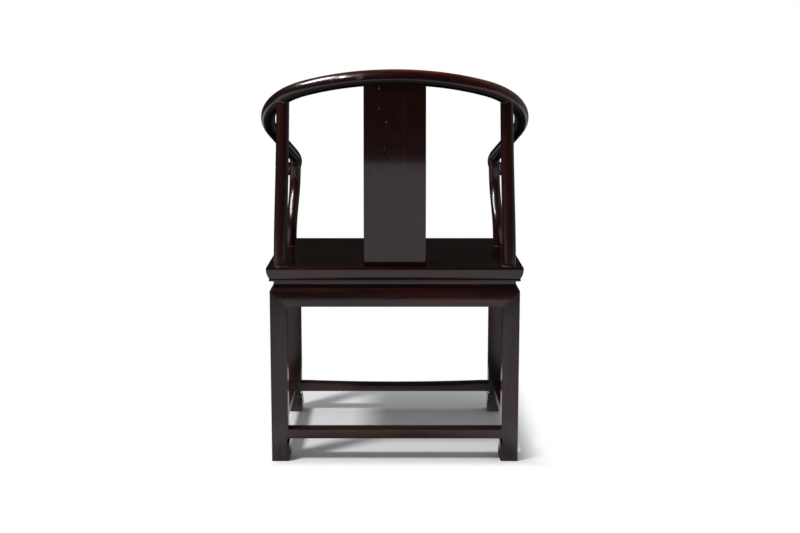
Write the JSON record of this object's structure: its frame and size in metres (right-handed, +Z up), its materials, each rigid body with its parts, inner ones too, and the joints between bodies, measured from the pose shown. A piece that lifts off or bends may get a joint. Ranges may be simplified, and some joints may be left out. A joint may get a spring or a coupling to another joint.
{
  "type": "horseshoe back armchair",
  "caption": "Waisted horseshoe back armchair in dark polished hardwood, with a plain splat, stretchers and scroll feet.",
  "frame": {"origin": "centre of the bounding box's bottom face, on the floor below the chair", "axes": "+Z up; the chair faces -Y, its back towards +Y; +X towards the sitter's left hand"},
  "size_m": [0.688, 0.5644, 0.9885],
  "materials": {
    "frame_wood": "polished",
    "splat_wood": "polished",
    "panel_wood": "polished",
    "batten_wood": "oiled"
  },
  "bodies": {
    "root": {"crest_rail": "frame_wood", "shoulder_rail_left": "frame_wood", "shoulder_rail_right": "frame_wood", "arm_rail_left": "frame_wood", "arm_rail_right": "frame_wood", "scarf_pegs": "frame_wood", "back_splat": "splat_wood", "rear_post_left": "frame_wood", "rear_post_right": "frame_wood", "arm_post_left": "frame_wood", "arm_post_right": "frame_wood", "seat_rail_front": "frame_wood", "seat_rail_rear": "frame_wood", "seat_rail_left": "frame_wood", "seat_rail_right": "frame_wood", "seat_board_front": "panel_wood", "seat_board_rear": "panel_wood", "seat_batten_left": "batten_wood", "seat_batten_right": "batten_wood", "waist_front": "frame_wood", "waist_rear": "frame_wood", "waist_left": "frame_wood", "waist_right": "frame_wood", "apron_front": "frame_wood", "apron_rear": "frame_wood", "apron_left": "frame_wood", "apron_right": "frame_wood", "leg_front_left": "frame_wood", "leg_front_right": "frame_wood", "leg_rear_left": "frame_wood", "leg_rear_right": "frame_wood", "stretcher_front": "frame_wood", "stretcher_rear": "frame_wood", "stretcher_left": "frame_wood", "stretcher_right": "frame_wood"}
  },
  "joints": []
}
